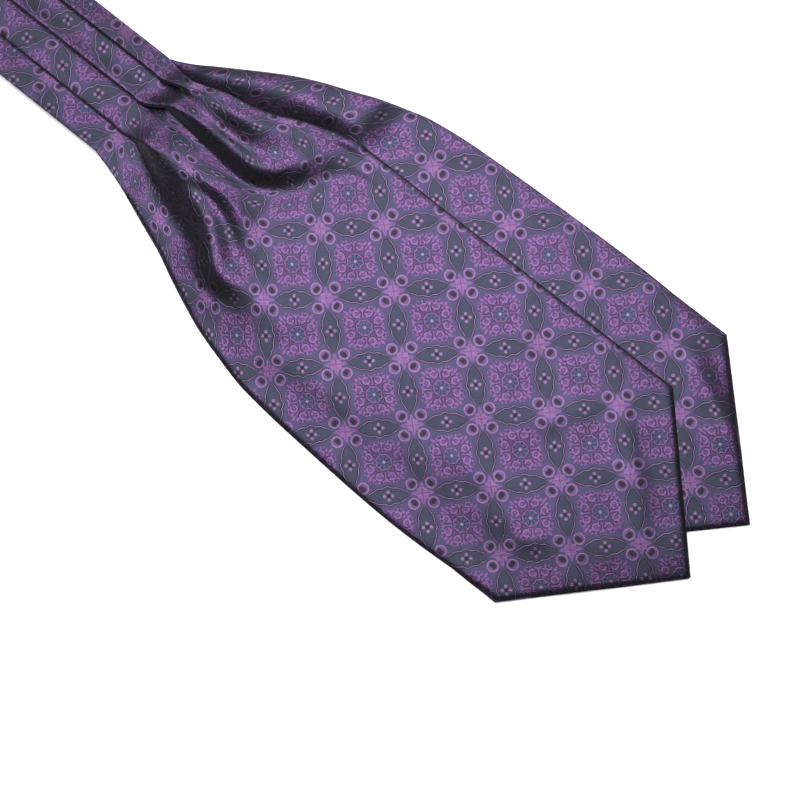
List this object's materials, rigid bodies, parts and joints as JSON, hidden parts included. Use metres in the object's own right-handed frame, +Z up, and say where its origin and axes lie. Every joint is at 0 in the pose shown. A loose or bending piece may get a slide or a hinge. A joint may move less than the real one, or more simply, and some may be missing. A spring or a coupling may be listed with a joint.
{
  "type": "day cravat folded in half",
  "caption": "Pleated day cravat folded in half at its neckband and laid flat, with pointed bias-cut blades offset one on the other in purple figured silk.",
  "frame": {"origin": "under the middle of the whole folded cravat, on the surface that it lies on", "axes": "+X from the fold at the centre back to the tips, +Y towards the rear blade's free edge, +Z up"},
  "size_m": [0.624, 0.1936, 0.0153],
  "materials": {
    "silk": "purple and slate figured satin with small lilac medallions"
  },
  "bodies": {
    "root": {"front_blade": "silk", "rear_blade": "silk", "neckband_front_half": "silk", "neckband_rear_half": "silk"}
  },
  "joints": []
}
